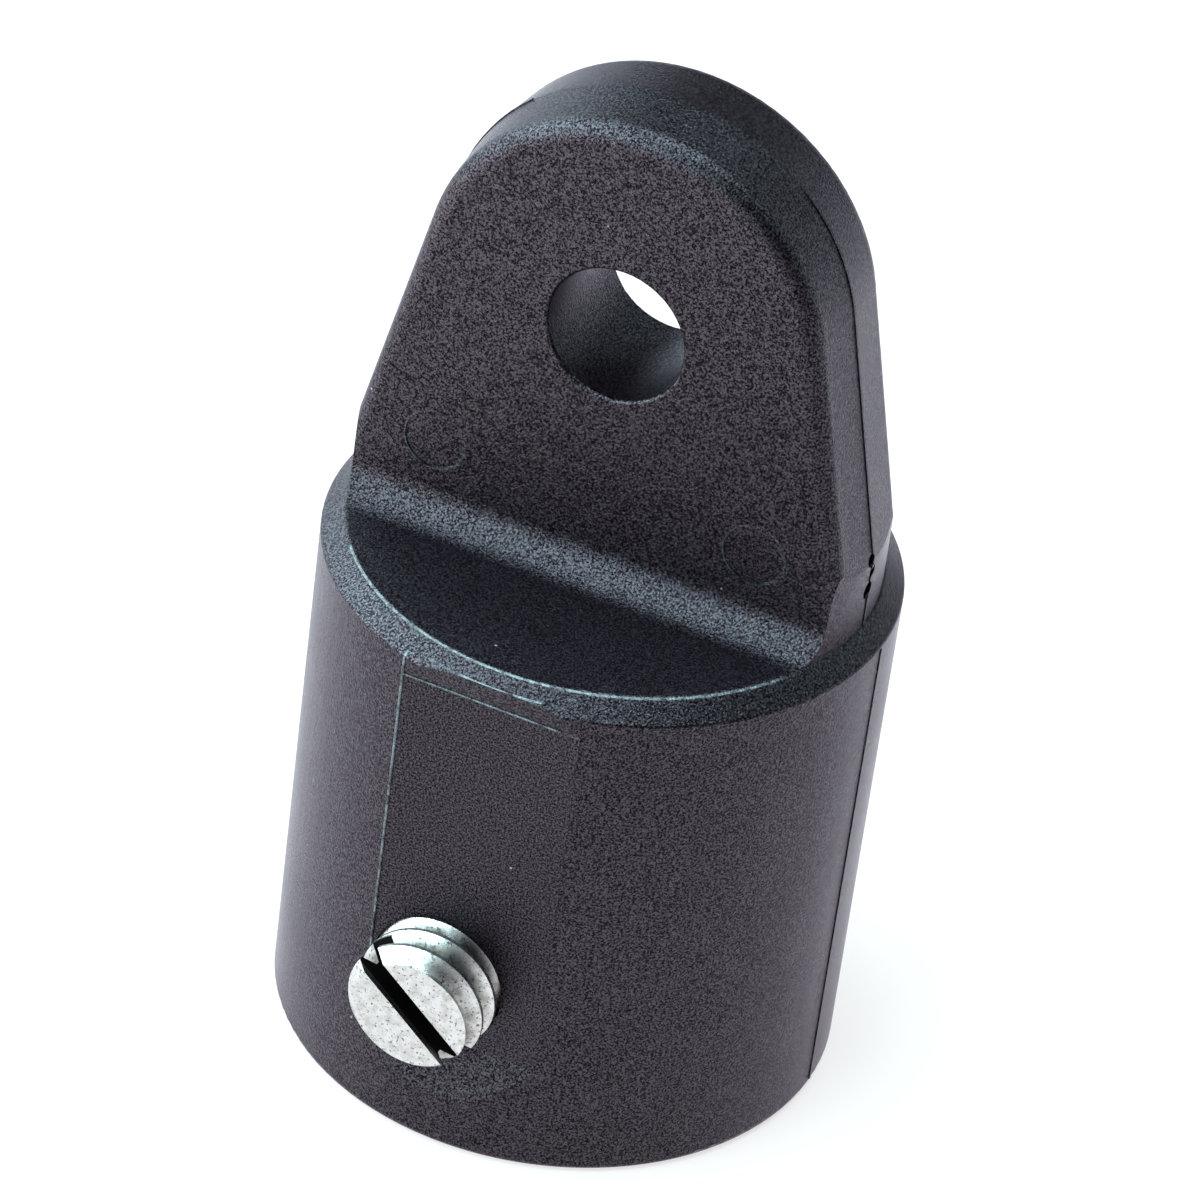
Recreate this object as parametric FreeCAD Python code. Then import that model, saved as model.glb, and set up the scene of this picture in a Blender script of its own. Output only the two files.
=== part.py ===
"""Eye end cap for a boat canopy frame tube: a moulded nylon cap and its slotted set screw.

Millimetres, +Z up. The origin is the centre of the socket's mouth, and Z runs along the tube's
axis towards the eye. The eye plate stands across Y, and the set screw enters from -Y.
"""
import FreeCAD
import Part
import math
import os

# Cap body: a round socket, closed at the top
BODY_RADIUS = 13.0
BODY_HEIGHT = 25.9
RIM_INSET = 1.03           # bevel round the top: how far in, and how far down
RIM_DROP = 0.82
RIM_TOP_ROUND = 0.4        # where the bevel meets the top, and the side
RIM_SIDE_ROUND = 0.15
MOUTH_ROUND = 0.4          # outer edge of the mouth
TUBE_RADIUS = 19.05 / 2    # the 3/4 inch tube that the socket takes
SOCKET_RADIUS = TUBE_RADIUS + 0.125
SOCKET_DEPTH = 21.9

# Eye plate: straight sides that taper into a round top; each half drafts away from the middle plane
PLATE_THICKNESS = 6.8
PLATE_BASE_HALF_WIDTH = 12.75
PLATE_ARC_RADIUS = 9.6
PLATE_ARC_HEIGHT = 13.15   # centre of the round top, above the body
PLATE_SUNK = 1.0           # how far its foot is let into the body
PLATE_DRAFT = 0.25         # how far each face's outline is drawn in
PLATE_EDGE_ROUND = 0.8
PLATE_ROOT_ROUND = 1.6     # hollow round where the plate meets the body
EYE_RADIUS = 3.2
EYE_HEIGHT = 12.45         # above the body
EYE_EDGE_ROUND = 0.15

# Marks of the moulding
EJECTOR_RADIUS = 1.45
EJECTOR_DEPTH = 0.1
EJECTOR_X = 7.7
EJECTOR_HEIGHT = 4.0       # above the body
SEAM_WIDTH = 0.14
SEAM_PROUD = 0.05
SEAM_TOP = 20.3            # above the body; it fades out over the top of the plate

# Flat pad for the set screw, with a sloped ledge above it and a gentle run-out below
PAD_Y = -12.29
PAD_TOP = BODY_HEIGHT - 1.75
LEDGE_TOP = BODY_HEIGHT - 0.53
LEDGE_Y = -12.6
PAD_BOTTOM = 5.6
RUN_OUT_BOTTOM = 2.6

BEAD_RADIUS = 0.07         # flash round the pad

# Pits where the gate was broken off: place along Y, height above the body, radius
GATE_PIT_DEPTH = 0.3
GATE_PITS = ((-0.15, 3.5, 0.32), (0.12, 2.8, 0.3), (-0.1, 1.9, 0.42))

# Set screw: 1/4 inch, 20 threads per inch, 3/16 inch long, slotted, cup point
SCREW_X = -0.95
SCREW_Z = 8.58
SCREW_HOLE_RADIUS = 3.2
THREAD_RADIUS = 3.15
THREAD_PITCH = 1.27
THREAD_DEPTH = 0.72
SCREW_LENGTH = 4.76
SCREW_PROUD = 2.7          # how far the slotted end stands out of the pad
SCREW_CHAMFER = 0.3        # at the slotted end
TIP_CHAMFER = 0.5
SLOT_WIDTH = 1.15
SLOT_DEPTH = 1.6
SLOT_ANGLE = -40.0
CUP_RADIUS = 1.55
CUP_DEPTH = 0.8

UP = FreeCAD.Vector(0, 0, 1)
ALONG_Y = FreeCAD.Vector(0, 1, 0)


def at(x, y, z):
    return FreeCAD.Vector(x, y, z)


def plate_outline(y, inset):
    """The eye plate's outline in the plane at y, drawn in by inset; its foot is sunk in the body."""
    radius = PLATE_ARC_RADIUS - inset
    half = PLATE_BASE_HALF_WIDTH - inset
    rise = PLATE_ARC_HEIGHT
    touch = math.atan2(-rise, half) + math.acos(radius / math.hypot(half, rise))
    centre_z = BODY_HEIGHT + rise
    side_x, side_z = radius * math.cos(touch), centre_z + radius * math.sin(touch)
    foot_z = BODY_HEIGHT - PLATE_SUNK
    right_foot, right_base = at(half, y, foot_z), at(half, y, BODY_HEIGHT)
    left_foot, left_base = at(-half, y, foot_z), at(-half, y, BODY_HEIGHT)
    right, left = at(side_x, y, side_z), at(-side_x, y, side_z)
    top = at(0, y, centre_z + radius)
    edges = [
        Part.LineSegment(right_foot, right_base).toShape(),
        Part.LineSegment(right_base, right).toShape(),
        Part.Arc(right, top, left).toShape(),
        Part.LineSegment(left, left_base).toShape(),
        Part.LineSegment(left_base, left_foot).toShape(),
        Part.LineSegment(left_foot, right_foot).toShape(),
    ]
    return Part.Wire(edges)


def half_plate(side):
    """One half of the eye plate, from the middle plane to the face on the given side."""
    face_y = side * PLATE_THICKNESS / 2
    return Part.makeLoft([plate_outline(0, 0), plate_outline(face_y, PLATE_DRAFT)], True, True)


def face_edges(shape):
    """The edges of the plate's two outlines that stand clear of the body."""
    found = []
    for edge in shape.Edges:
        box = edge.BoundBox
        on_face = box.YLength < 0.01 and abs(abs(box.YMin) - PLATE_THICKNESS / 2) < 0.01
        if on_face and box.ZMax > BODY_HEIGHT + 1 and box.ZMin > BODY_HEIGHT - 0.01:
            found.append(edge)
    return found


def eye_plate():
    plate = half_plate(1).fuse(half_plate(-1)).removeSplitter()
    return plate.makeFillet(PLATE_EDGE_ROUND, face_edges(plate))


def body():
    """A turned barrel with a bevel round its top."""
    profile = Part.makePolygon([
        at(0, 0, 0), at(BODY_RADIUS, 0, 0), at(BODY_RADIUS, 0, BODY_HEIGHT - RIM_DROP),
        at(BODY_RADIUS - RIM_INSET, 0, BODY_HEIGHT), at(0, 0, BODY_HEIGHT), at(0, 0, 0)])
    barrel = Part.Face(profile).revolve(at(0, 0, 0), UP, 360)
    for height, rounding in (
            (0, MOUTH_ROUND), (BODY_HEIGHT - RIM_DROP, RIM_SIDE_ROUND), (BODY_HEIGHT, RIM_TOP_ROUND)):
        barrel = barrel.makeFillet(rounding, level_circles(barrel, height))
    return barrel


def level_circles(shape, height):
    found = []
    for edge in shape.Edges:
        box = edge.BoundBox
        if box.ZLength < 0.01 and abs(box.ZMin - height) < 0.01 and box.YLength > BODY_RADIUS:
            found.append(edge)
    return found


def plate_root():
    """The hollow rounds along the plate's two feet, as one bar with a groove down each side."""
    foot = PLATE_THICKNESS / 2 + PLATE_ROOT_ROUND
    low = BODY_HEIGHT - PLATE_SUNK
    high = BODY_HEIGHT + PLATE_ROOT_ROUND
    bar = Part.makeBox(2 * BODY_RADIUS, 2 * foot, high - low, at(-BODY_RADIUS, -foot, low))
    for side in (1, -1):
        start = at(-BODY_RADIUS, side * foot, high)
        bar = bar.cut(Part.makeCylinder(PLATE_ROOT_ROUND, 2 * BODY_RADIUS, start, at(1, 0, 0)))
    return bar


def top_works():
    """The eye plate on its root, trimmed all round to the edge of the body's top face."""
    trim = Part.makeCylinder(BODY_RADIUS - RIM_INSET, BODY_HEIGHT, at(0, 0, BODY_HEIGHT - PLATE_SUNK))
    return eye_plate().fuse(plate_root()).common(trim)


def socket():
    return Part.makeCylinder(SOCKET_RADIUS, SOCKET_DEPTH)


def pad_cut():
    """What is taken off the body's side to leave the flat pad, its ledge and its run-out."""
    reach = BODY_RADIUS + 2
    side = Part.makePolygon([
        at(0, PAD_Y, PAD_BOTTOM), at(0, PAD_Y, PAD_TOP), at(0, LEDGE_Y, LEDGE_TOP),
        at(0, -reach, LEDGE_TOP), at(0, -reach, RUN_OUT_BOTTOM), at(0, -BODY_RADIUS, RUN_OUT_BOTTOM),
        at(0, PAD_Y, PAD_BOTTOM)])
    prism = Part.Face(side).extrude(at(2 * BODY_RADIUS, 0, 0))
    prism.translate(at(-BODY_RADIUS, 0, 0))
    return prism


def pad_beads():
    """Fine beads of flash where the mould's loose piece for the pad met the mould."""
    half = math.sqrt(BODY_RADIUS ** 2 - PAD_Y ** 2)
    rise = BODY_HEIGHT - RIM_DROP - PAD_BOTTOM
    left = Part.makeCylinder(BEAD_RADIUS, rise, at(-half, PAD_Y, PAD_BOTTOM), UP)
    right = Part.makeCylinder(BEAD_RADIUS * 0.6, rise, at(half, PAD_Y, PAD_BOTTOM), UP)
    top = Part.makeCylinder(BEAD_RADIUS * 0.9, 1.8 * half, at(-half, PAD_Y, PAD_TOP), at(1, 0, 0))
    return left, right, top


def gate_scar():
    """The pits left beside the parting line, at the plate's foot, where the gate was broken off."""
    pits = []
    floor_x = BODY_RADIUS - RIM_INSET - GATE_PIT_DEPTH
    for across, up, radius in GATE_PITS:
        pits.append(Part.makeCylinder(radius, 2, at(floor_x, across, BODY_HEIGHT + up), at(1, 0, 0)))
    return pits


def eye_hole():
    half = PLATE_THICKNESS / 2
    centre = at(0, -half - 1, BODY_HEIGHT + EYE_HEIGHT)
    return Part.makeCylinder(EYE_RADIUS, PLATE_THICKNESS + 2, centre, ALONG_Y)


def eye_edges(shape):
    """The eye's two edges, one in each face of the plate."""
    centre = at(0, 0, BODY_HEIGHT + EYE_HEIGHT)
    found = []
    for edge in shape.Edges:
        box = edge.BoundBox
        round_one = abs(box.XLength - 2 * EYE_RADIUS) < 0.01 and box.YLength < 0.01
        if round_one and abs(box.Center.z - centre.z) < 0.01:
            found.append(edge)
    return found


def ejector_marks():
    """Shallow round dents left by the ejector pins, two on each face of the plate."""
    marks = []
    for side in (1, -1):
        for x in (EJECTOR_X, -EJECTOR_X):
            start = side * (PLATE_THICKNESS / 2 - EJECTOR_DEPTH)
            place = at(x, start, BODY_HEIGHT + EJECTOR_HEIGHT)
            marks.append(Part.makeCylinder(EJECTOR_RADIUS, 1, place, ALONG_Y * side))
    return marks


def seam():
    """The fine raised line that the two mould halves leave, up the body and the plate's sides."""
    half = SEAM_WIDTH / 2
    ring = Part.Face(plate_outline(-half, -SEAM_PROUD)).extrude(at(0, SEAM_WIDTH, 0))
    foot_radius = BODY_RADIUS - RIM_INSET + SEAM_PROUD
    ring = ring.common(Part.makeCylinder(foot_radius, BODY_HEIGHT + SEAM_TOP))
    wall = BODY_RADIUS + SEAM_PROUD
    low, high = MOUTH_ROUND, BODY_HEIGHT - RIM_DROP - RIM_SIDE_ROUND
    strip = Part.makeBox(2 * wall, SEAM_WIDTH, high - low, at(-wall, -half, low))
    return ring.fuse(strip)


def screw_hole():
    reach = BODY_RADIUS - SOCKET_RADIUS + 3
    return Part.makeCylinder(SCREW_HOLE_RADIUS, reach, at(SCREW_X, PAD_Y - 1, SCREW_Z), ALONG_Y)


def end_cap():
    cap = body().fuse(top_works())
    cap = cap.fuse(seam())
    cap = cap.cut(pad_cut())
    for bead in pad_beads():
        cap = cap.fuse(bead)
    cap = cap.cut(socket()).cut(screw_hole()).cut(eye_hole())
    for pit in gate_scar():
        cap = cap.cut(pit)
    for mark in ejector_marks():
        cap = cap.cut(mark)
    cap = cap.removeSplitter()
    return cap.makeFillet(EYE_EDGE_ROUND, eye_edges(cap))


def thread_ridge():
    """A ridge of trapezoid section wound along the screw, longer than it at both ends."""
    root = THREAD_RADIUS - THREAD_DEPTH
    wide, crest = THREAD_PITCH * 0.84, THREAD_PITCH * 0.14
    length = SCREW_LENGTH + 2 * THREAD_PITCH
    path = Part.makeHelix(THREAD_PITCH, length, root)
    inner = root - 0.1
    section = Part.makePolygon([
        at(inner, 0, -wide / 2), at(root, 0, -wide / 2), at(THREAD_RADIUS, 0, -crest / 2),
        at(THREAD_RADIUS, 0, crest / 2), at(root, 0, wide / 2), at(inner, 0, wide / 2),
        at(inner, 0, -wide / 2)])
    ridge = Part.Wire(path).makePipeShell([section], True, True)
    ridge.translate(at(0, 0, -THREAD_PITCH))
    return ridge


def set_screw():
    """Made standing up, slotted end at the top, then laid along -Y into its hole."""
    root = THREAD_RADIUS - THREAD_DEPTH
    core = Part.makeCylinder(root, SCREW_LENGTH)
    blank = Part.makeCylinder(THREAD_RADIUS + 0.01, SCREW_LENGTH)
    head = [e for e in blank.Edges if e.BoundBox.ZMin > SCREW_LENGTH - 0.01]
    blank = blank.makeChamfer(SCREW_CHAMFER, head)
    tip = [e for e in blank.Edges if e.BoundBox.ZMax < 0.01]
    blank = blank.makeChamfer(TIP_CHAMFER, tip)
    screw = core.fuse(thread_ridge()).common(blank)
    slot = Part.makeBox(3 * THREAD_RADIUS, SLOT_WIDTH, SLOT_DEPTH + 1,
                        at(-1.5 * THREAD_RADIUS, -SLOT_WIDTH / 2, SCREW_LENGTH - SLOT_DEPTH))
    slot.rotate(at(0, 0, 0), UP, SLOT_ANGLE)
    cup = Part.makeCone(CUP_RADIUS, CUP_RADIUS * 0.25, CUP_DEPTH)
    screw = screw.cut(slot).cut(cup)
    screw.rotate(at(0, 0, 0), at(1, 0, 0), 90)
    screw.translate(at(SCREW_X, PAD_Y - SCREW_PROUD + SCREW_LENGTH, SCREW_Z))
    return screw


def save(name, shape):
    print(name, "valid", shape.isValid(), "solids", len(shape.Solids), "volume", round(shape.Volume, 1))
    shape.exportStep("parts/" + name + ".step")


os.makedirs("parts", exist_ok=True)
save("end_cap", end_cap())
save("set_screw", set_screw())
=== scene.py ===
"""Looks for the eye end cap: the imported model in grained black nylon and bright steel, in a white studio."""
import math

import bpy
from mathutils import Matrix, Vector


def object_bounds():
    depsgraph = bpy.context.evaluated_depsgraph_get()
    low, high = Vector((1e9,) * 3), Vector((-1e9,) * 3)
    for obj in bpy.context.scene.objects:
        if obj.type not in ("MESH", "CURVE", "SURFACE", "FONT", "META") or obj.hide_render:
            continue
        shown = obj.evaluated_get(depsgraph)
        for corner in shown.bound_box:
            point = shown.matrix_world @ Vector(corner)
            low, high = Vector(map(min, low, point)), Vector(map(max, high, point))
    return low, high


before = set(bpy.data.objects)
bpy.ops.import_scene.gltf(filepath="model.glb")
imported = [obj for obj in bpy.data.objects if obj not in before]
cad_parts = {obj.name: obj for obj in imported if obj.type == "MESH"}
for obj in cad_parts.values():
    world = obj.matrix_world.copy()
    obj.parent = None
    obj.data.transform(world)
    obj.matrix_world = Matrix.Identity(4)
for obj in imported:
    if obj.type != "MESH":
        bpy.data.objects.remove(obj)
CAD_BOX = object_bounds()

MM = 0.001
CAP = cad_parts["end_cap"]
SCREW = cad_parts["set_screw"]
LOW, HIGH = CAD_BOX

# The set screw's slot and thread
SLOT_WIDTH, SLOT_DEPTH = 1.15 * MM, 1.6 * MM
SLOT_ANGLE = math.radians(-40)
THREAD_RADIUS = 3.15 * MM

# Marks of the moulding on the cap, along which the nylon's colour carries painted highlights
PAD_HALF_WIDTH = 4.24 * MM
PAD_TOP, LEDGE_TOP = 24.15 * MM, 25.37 * MM
RIM_INNER_RADIUS, RIM_TOP = 11.97 * MM, 25.9 * MM
EJECTOR_X, EJECTOR_Z, EJECTOR_RADIUS = 7.7 * MM, 29.9 * MM, 1.45 * MM

FLOOR_GAP = 0.03 * MM           # keeps the floor and the cap's mouth out of one plane


# ---------------------------------------------------------------- node helpers

class Material:
    """A material whose nodes are added by name and joined as they are made."""

    def __init__(self, name):
        self.data = bpy.data.materials.new(name)
        self.data.use_nodes = True
        self.tree = self.data.node_tree
        self.shader = self.tree.nodes["Principled BSDF"]
        self.where = self.tree.nodes.new("ShaderNodeTexCoord").outputs["Object"]

    def join(self, source, target):
        self.tree.links.new(source, target)

    def node(self, kind, inputs=(), **settings):
        made = self.tree.nodes.new("ShaderNode" + kind)
        for key, value in settings.items():
            setattr(made, key, value)
        for key, value in dict(inputs).items():
            if isinstance(value, bpy.types.NodeSocket):
                self.join(value, made.inputs[key])
            else:
                made.inputs[key].default_value = value
        return made

    def noise(self, size, detail=2.0, rough=0.5, where=None):
        """Noise whose grains are about size metres across, from 0 to 1."""
        made = self.node("TexNoise", {"Vector": where or self.where, "Scale": 1 / size,
                                      "Detail": detail, "Roughness": rough})
        return made.outputs["Fac"]

    def math(self, kind, first, second):
        return self.node("Math", {0: first, 1: second}, operation=kind).outputs[0]

    def span(self, value, low, high, to_low, to_high):
        """value, mapped from low..high to to_low..to_high and held there."""
        made = self.node("MapRange", {"Value": value, "From Min": low, "From Max": high,
                                      "To Min": to_low, "To Max": to_high})
        return made.outputs["Result"]

    def blend(self, share, first, second):
        made = self.node("Mix", {"Factor": share}, data_type="RGBA")
        for socket, value in ((made.inputs[6], first), (made.inputs[7], second)):
            if isinstance(value, bpy.types.NodeSocket):
                self.join(value, socket)
            else:
                socket.default_value = (*value, 1)
        return made.outputs[2]

    def reach(self, first, second):
        """How far the point (first, second) of a plane is from its middle."""
        flat = self.node("CombineXYZ", {0: first, 1: second})
        return self.node("VectorMath", {0: flat.outputs[0]}, operation="LENGTH").outputs["Value"]

    def bump(self, height, strength, depth, under=None):
        inputs = {"Height": height, "Strength": strength, "Distance": depth}
        if under is not None:
            inputs["Normal"] = under
        return self.node("Bump", inputs).outputs["Normal"]

    def fixed(self, **values):
        """Constants, set on the shader's own sockets."""
        for key, value in values.items():
            self.shader.inputs[key.replace("_", " ")].default_value = value


# ---------------------------------------------------------------- materials

def nylon():
    """Near-black nylon with the grain of a spark-eroded mould: shiny between pores that don't reflect, with
    painted highlights on the flash, the rim's crease and the ejector rings.
    """
    m = Material("black_nylon")
    grain = m.noise(0.11 * MM, 3.0, 0.65)
    pores = m.noise(0.095 * MM, 3.0, 0.65, m.node("VectorMath", {0: m.where, 1: (0.3, 0.7, 0.1)},
                                               operation="ADD").outputs[0])
    mottle = m.noise(1.1 * MM, 3.0, 0.55)
    broad = m.noise(8 * MM, 2.0, 0.5)
    dark, light = (0.0042, 0.0014, 0.0028), (0.0092, 0.0050, 0.0080)
    colour = m.blend(m.span(grain, 0.45, 0.72, 0, 1), dark, light)
    specks = m.node("TexVoronoi", {"Vector": m.where, "Scale": 1 / (2.2 * MM), "Randomness": 1.0})
    near = m.span(specks.outputs["Distance"], 0.02, 0.035, 1, 0)
    chosen = m.span(m.node("SeparateColor", {0: specks.outputs["Color"]}).outputs[0], 0.5, 0.55, 0, 1)
    colour = m.blend(m.math("MULTIPLY", near, chosen), colour, (0.22, 0.26, 0.27))
    # painted highlight on the flash beads
    colour = m.blend(flash_highlight_share(m), colour, (0.12, 0.145, 0.16))
    # painted highlight along the rim's crease
    colour = m.blend(crease_highlight_share(m), colour, (0.15, 0.165, 0.175))
    # painted highlight that makes the ejector rings faint light circles
    colour = m.blend(ejector_ring_highlight_share(m), colour, (0.036, 0.040, 0.043))
    m.join(colour, m.shader.inputs["Base Color"])
    m.join(m.span(broad, 0.3, 0.7, 0.22, 0.30), m.shader.inputs["Roughness"])
    m.join(m.span(pores, 0.43, 0.60, 0.97, 0.0), m.shader.inputs["Metallic"])
    coarse = m.bump(mottle, 1.0, 0.010 * MM)
    fine = m.bump(grain, 1.0, 0.035 * MM, coarse)
    m.join(fine, m.shader.inputs["Normal"])
    m.fixed(Specular_IOR_Level=0.85, IOR=1.5, Specular_Tint=(0.95, 0.84, 1.0, 1))
    m.fixed(Sheen_Weight=0.04, Sheen_Roughness=0.3, Sheen_Tint=(0.6, 0.75, 0.95, 1))
    return m.data


def flash_highlight_share(m):
    """1 on the flash at the pad's left edge, its top and the top of the ledge, 0 elsewhere: a painted
    highlight that lightens the flash beads.
    """
    place = m.node("SeparateXYZ", {0: m.where})
    x, y, z = place.outputs[0], place.outputs[1], place.outputs[2]
    left = line_share(m, x, -PAD_HALF_WIDTH, 0.07 * MM, z, 9 * MM, LEDGE_TOP)
    top = line_share(m, z, PAD_TOP, 0.07 * MM, x, -PAD_HALF_WIDTH, PAD_HALF_WIDTH)
    ledge = line_share(m, z, LEDGE_TOP, 0.035 * MM, x, -3.2 * MM, 2.4 * MM)
    lines = m.math("MAXIMUM", left, m.math("MAXIMUM", m.math("MULTIPLY", top, 0.6), ledge))
    at_front = m.span(y, -12.1 * MM, -12.0 * MM, 1, 0)
    broken = m.span(m.noise(0.6 * MM, 2.0, 0.5), 0.38, 0.56, 0.15, 1)
    return m.math("MULTIPLY", m.math("MULTIPLY", lines, at_front), broken)


def crease_highlight_share(m):
    """1 on the inner edge of the rim in front of the plate, where a painted highlight makes the crease a thin
    bright line.
    """
    place = m.node("SeparateXYZ", {0: m.where})
    radius = m.reach(place.outputs[0], place.outputs[1])
    line = line_share(m, radius, RIM_INNER_RADIUS, 0.06 * MM, place.outputs[0], -9.5 * MM, 10.6 * MM)
    front = m.span(place.outputs[1], -5.2 * MM, -4.2 * MM, 1, 0)
    high = m.span(place.outputs[2], RIM_TOP - 0.3 * MM, RIM_TOP - 0.2 * MM, 0, 1)
    broken = m.span(m.noise(0.35 * MM, 3.0, 0.6), 0.32, 0.6, 0.1, 1)
    return m.math("MULTIPLY", m.math("MULTIPLY", line, broken), m.math("MULTIPLY", front, high))


def ejector_ring_highlight_share(m):
    """Up to 1 on the rings that the ejector pins left on the plate's faces, 0 elsewhere: a painted highlight
    that makes each ring a faint light circle.
    """
    place = m.node("SeparateXYZ", {0: m.where})
    side = m.math("SUBTRACT", m.math("ABSOLUTE", place.outputs[0], 0), EJECTOR_X)
    rise = m.math("SUBTRACT", place.outputs[2], EJECTOR_Z)
    off = m.math("ABSOLUTE", m.math("SUBTRACT", m.reach(side, rise), EJECTOR_RADIUS), 0)
    ring = m.span(off, 0.03 * MM, 0.08 * MM, 1, 0)
    on_face = m.span(m.math("ABSOLUTE", place.outputs[1], 0), 3.1 * MM, 3.2 * MM, 0, 1)
    # the painted highlight is patchy along each ring
    uneven = m.span(m.noise(0.7 * MM, 2.0, 0.5), 0.36, 0.6, 0.2, 0.9)
    return m.math("MULTIPLY", m.math("MULTIPLY", ring, on_face), uneven)


def line_share(m, across, middle, half_width, along, start, end):
    """1 on a thin line where across is near middle and along is from start to end."""
    off = m.math("ABSOLUTE", m.math("SUBTRACT", across, middle), 0)
    thin = m.span(off, 0.6 * half_width, 1.2 * half_width, 1, 0)
    begun = m.span(along, start, start + 0.1 * MM, 0, 1)
    ended = m.span(along, end - 0.1 * MM, end, 1, 0)
    return m.math("MULTIPLY", thin, m.math("MULTIPLY", begun, ended))


def steel():
    """Bright stainless steel with pits and stains, dark in its slot and in the roots of its thread."""
    m = Material("worn_steel")
    stain = m.noise(0.5 * MM, 4.0, 0.65)
    pits = m.noise(0.14 * MM, 2.0, 0.5)
    colour = m.blend(m.span(stain, 0.42, 0.66, 0, 1), (0.66, 0.63, 0.64), (0.47, 0.43, 0.41))
    colour = m.blend(m.span(pits, 0.60, 0.67, 0, 0.85), colour, (0.05, 0.045, 0.04))
    colour = m.blend(m.math("MULTIPLY", groove_share(m), 0.85), colour, (0.085, 0.075, 0.07))
    in_slot = slot_share(m)
    colour = m.blend(in_slot, colour, (0.012, 0.009, 0.009))
    m.join(colour, m.shader.inputs["Base Color"])
    uneven = m.span(stain, 0.3, 0.75, 0.22, 0.38)
    m.join(m.math("MAXIMUM", uneven, m.math("MULTIPLY", in_slot, 0.7)), m.shader.inputs["Roughness"])
    m.join(m.bump(pits, 0.5, 0.012 * MM), m.shader.inputs["Normal"])
    m.fixed(Metallic=1.0)
    return m.data


def groove_share(m):
    """1 at the root of the thread, behind the slotted face, and 0 on its crests and on the face."""
    low, high = (Vector(SCREW.bound_box[0]), Vector(SCREW.bound_box[6]))
    middle = (low + high) / 2
    place = m.node("SeparateXYZ", {0: m.where})
    x = m.math("SUBTRACT", place.outputs[0], middle.x)
    z = m.math("SUBTRACT", place.outputs[2], middle.z)
    deep = m.span(m.reach(x, z), THREAD_RADIUS - 0.5 * MM, THREAD_RADIUS - 0.12 * MM, 1, 0)
    behind = m.span(place.outputs[1], low.y + 0.1 * MM, low.y + 0.4 * MM, 0, 1)
    patchy = m.span(m.noise(0.9 * MM, 3.0, 0.6), 0.35, 0.6, 0.45, 1)
    return m.math("MULTIPLY", patchy, m.math("MULTIPLY", deep, behind))


def slot_share(m):
    """1 below the slotted face and between the slot's walls, 0 on the rest of the screw."""
    low, high = (Vector(SCREW.bound_box[0]), Vector(SCREW.bound_box[6]))
    middle = (low + high) / 2
    place = m.node("SeparateXYZ", {0: m.where})
    across_x, across_z = math.sin(SLOT_ANGLE), -math.cos(SLOT_ANGLE)
    x = m.math("MULTIPLY", m.math("SUBTRACT", place.outputs[0], middle.x), across_x)
    z = m.math("MULTIPLY", m.math("SUBTRACT", place.outputs[2], middle.z), across_z)
    off_line = m.math("ABSOLUTE", m.math("ADD", x, z), 0)
    between = m.span(off_line, 0.5 * SLOT_WIDTH, 0.5 * SLOT_WIDTH + 0.03 * MM, 1, 0)
    below = m.span(place.outputs[1], low.y + 0.06 * MM, low.y + 0.3 * MM, 0, 1)
    above = m.span(place.outputs[1], low.y + SLOT_DEPTH, low.y + SLOT_DEPTH + 0.1 * MM, 1, 0)
    return m.math("MULTIPLY", between, m.math("MULTIPLY", below, above))


def floor_paint():
    """A white table that glows: a painted pool of light towards the large light, and a painted glow that fades
    far from the object.
    """
    m = Material("studio_floor")
    tone = m.noise(60 * MM, 2.0, 0.5)
    m.join(m.blend(m.span(tone, 0.3, 0.7, 0, 1), (0.27, 0.235, 0.235), (0.295, 0.255, 0.255)),
           m.shader.inputs["Base Color"])
    turn = math.radians(-50)
    pool = (220 * MM * math.sin(turn), -220 * MM * math.cos(turn), 0)
    from_pool = m.node("VectorMath", {0: m.where, 1: pool}, operation="DISTANCE").outputs["Value"]
    from_middle = m.node("VectorMath", {0: m.where, 1: (0, 0, 0)}, operation="DISTANCE").outputs["Value"]
    # painted pool of light: the floor glows strongly towards the large light
    glow_pool = m.span(from_pool, 110 * MM, 150 * MM, 3.2, 0.0)
    # painted glow: the floor glows near the object and less far from it
    near = m.span(from_middle, 120 * MM, 260 * MM, 0.69, 0.2)
    m.join(m.math("ADD", near, glow_pool), m.shader.inputs["Emission Strength"])
    m.fixed(Roughness=0.8, Specular_IOR_Level=0.1, Emission_Color=(1.0, 0.96, 0.97, 1))
    return m.data


def paint(piece, material):
    piece.data.materials.clear()
    piece.data.materials.append(material)


# ---------------------------------------------------------------- studio

def camera():
    """A long lens from the right and above, rolled so that the object leans to the right."""
    azimuth, elevation, roll = map(math.radians, (20.48, 35.08, 7.85))
    distance = 0.2948
    focal_share = 5.563           # focal length over the frame's width
    back = Vector((math.sin(azimuth) * math.cos(elevation),
                   -math.cos(azimuth) * math.cos(elevation), math.sin(elevation)))
    flat_right = Vector((math.cos(azimuth), math.sin(azimuth), 0))
    flat_up = back.cross(flat_right)
    right = flat_right * math.cos(roll) + flat_up * math.sin(roll)
    up = back.cross(right)
    shoulder = Vector((0, 0, RIM_TOP))
    place = shoulder + back * distance
    aim = shoulder - right * 0.69 * MM - up * 2.91 * MM
    back = (place - aim).normalized()
    right = up.cross(back).normalized()
    up = back.cross(right)
    data = bpy.data.cameras.new("camera")
    data.sensor_width = 36
    data.lens = 36 * focal_share
    data.clip_start, data.clip_end = 0.02, 10
    cam = bpy.data.objects.new("camera", data)
    turn = Matrix((right, up, back)).transposed().to_4x4()
    cam.matrix_world = Matrix.Translation(place) @ turn
    bpy.context.scene.collection.objects.link(cam)
    bpy.context.scene.camera = cam


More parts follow.
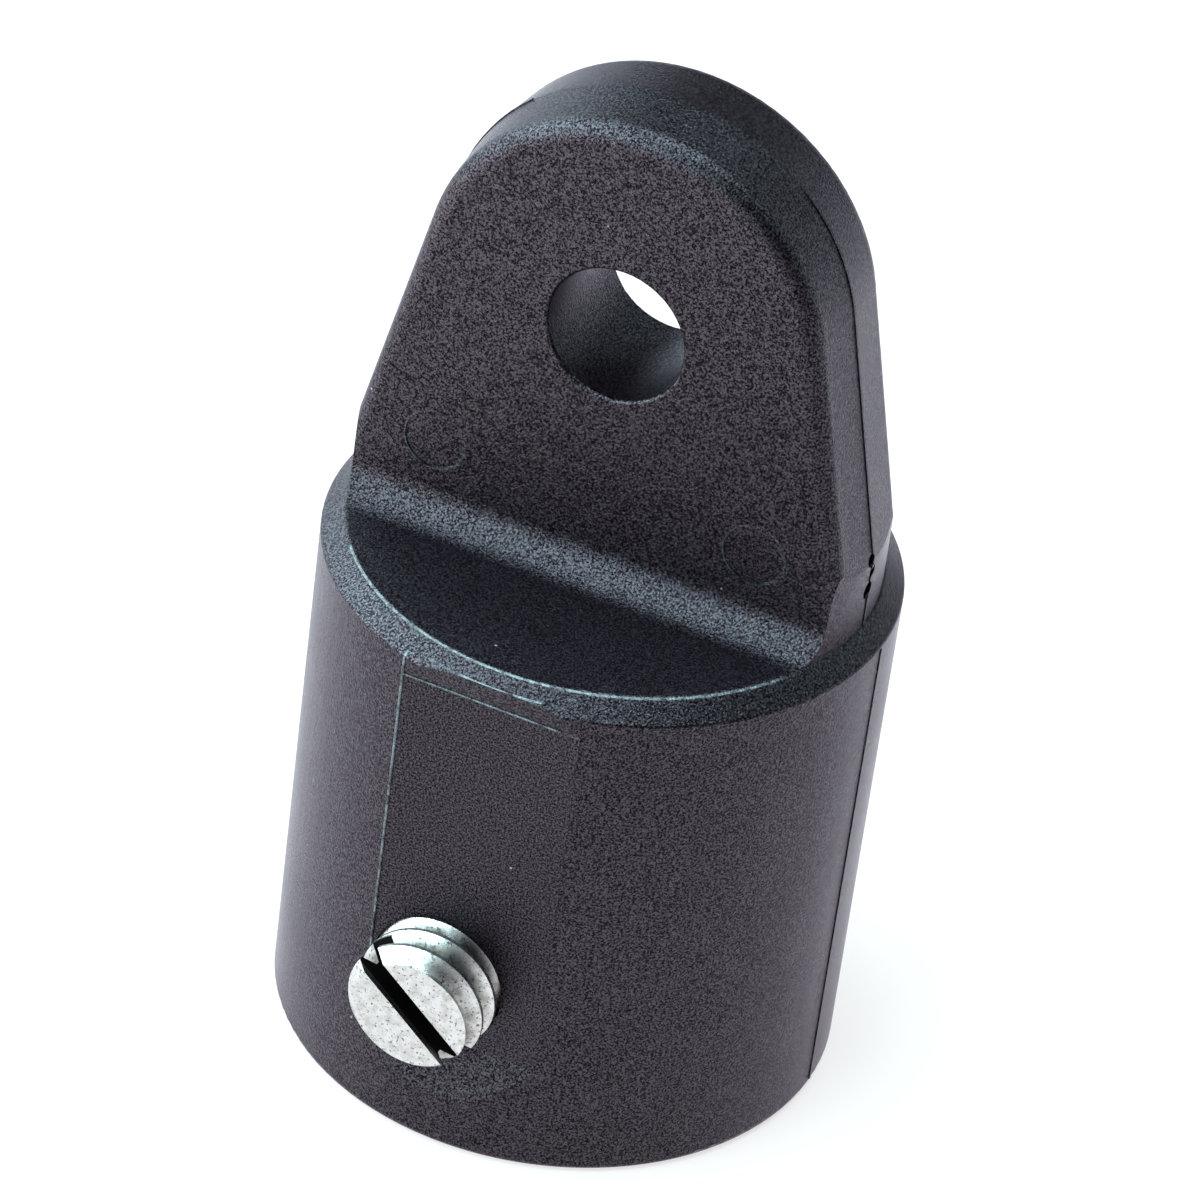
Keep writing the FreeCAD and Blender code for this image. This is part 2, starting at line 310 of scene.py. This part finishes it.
class Sky(Material):
    """The room all round, as a world: its light is set by direction."""

    def __init__(self):
        self.data = bpy.data.worlds.new("white_room")
        self.data.use_nodes = True
        self.tree = self.data.node_tree
        self.shader = self.tree.nodes["Background"]
        self.where = self.tree.nodes.new("ShaderNodeTexCoord").outputs["Generated"]
        self.total = None

    def panel(self, azimuth, elevation, half_width, softness, colour, level):
        """A round panel of light; the angles are in degrees, azimuth from the object's front to its right."""
        turn, lift = math.radians(azimuth), math.radians(elevation)
        middle = (math.sin(turn) * math.cos(lift), -math.cos(turn) * math.cos(lift), math.sin(lift))
        facing = self.node("VectorMath", {0: self.where, 1: middle}, operation="DOT_PRODUCT").outputs["Value"]
        outer, inner = half_width + softness, max(half_width - softness, 0)
        share = self.span(facing, math.cos(math.radians(outer)), math.cos(math.radians(inner)), 0, 1)
        bright = tuple(level * part for part in colour)
        self.add(self.blend(share, (0, 0, 0), bright))

    def band(self, low, high, colour, level):
        """A band of light all round between two heights, as sines of elevation, fading upwards."""
        height = self.node("SeparateXYZ", {0: self.where}).outputs[2]
        share = self.span(height, low, high, 1, 0)
        self.add(self.blend(share, (0, 0, 0), tuple(level * part for part in colour)))

    def add(self, light):
        if self.total is None:
            self.total = light
        else:
            self.total = self.node("VectorMath", {0: self.total, 1: light}, operation="ADD").outputs[0]

    def finish(self):
        self.join(self.total, self.shader.inputs["Color"])
        self.shader.inputs["Strength"].default_value = 1
        bpy.context.scene.world = self.data


COOL = (0.76, 1.10, 1.10)
PLAIN = (1.0, 0.96, 1.04)


def studio():
    """A large light to the front left, a small one overhead, and a dark room to the right and behind."""
    sky = Sky()
    sky.band(-0.05, 0.9, PLAIN, 0.12)
    sky.band(0.10, 0.32, PLAIN, 0.25)
    sky.panel(-50, 22, 42, 5, COOL, 5.6)
    sky.panel(-108, 25, 28, 10, COOL, 3.6)
    sky.panel(-150, 84, 17, 6, COOL, 8.0)
    sky.panel(0, 80, 10, 6, COOL, 4.0)
    sky.panel(160, 62, 14, 6, COOL, 2.6)
    sky.panel(120, 15, 34, 12, COOL, 0.7)
    sky.finish()
    bpy.ops.mesh.primitive_plane_add(size=4, location=(0, 0, LOW.z - FLOOR_GAP))
    floor = bpy.context.object
    floor.name = "studio_floor"
    paint(floor, floor_paint())


# ---------------------------------------------------------------- the object

def smooth(piece, angle=30):
    bpy.context.view_layer.objects.active = piece
    for other in bpy.context.selected_objects:
        other.select_set(False)
    piece.select_set(True)
    bpy.ops.object.shade_smooth_by_angle(angle=math.radians(angle))


def dress(piece, material):
    paint(piece, material)
    smooth(piece)


camera()
studio()
dress(CAP, nylon())
dress(SCREW, steel())

bpy.context.scene.view_settings.view_transform = "Standard"
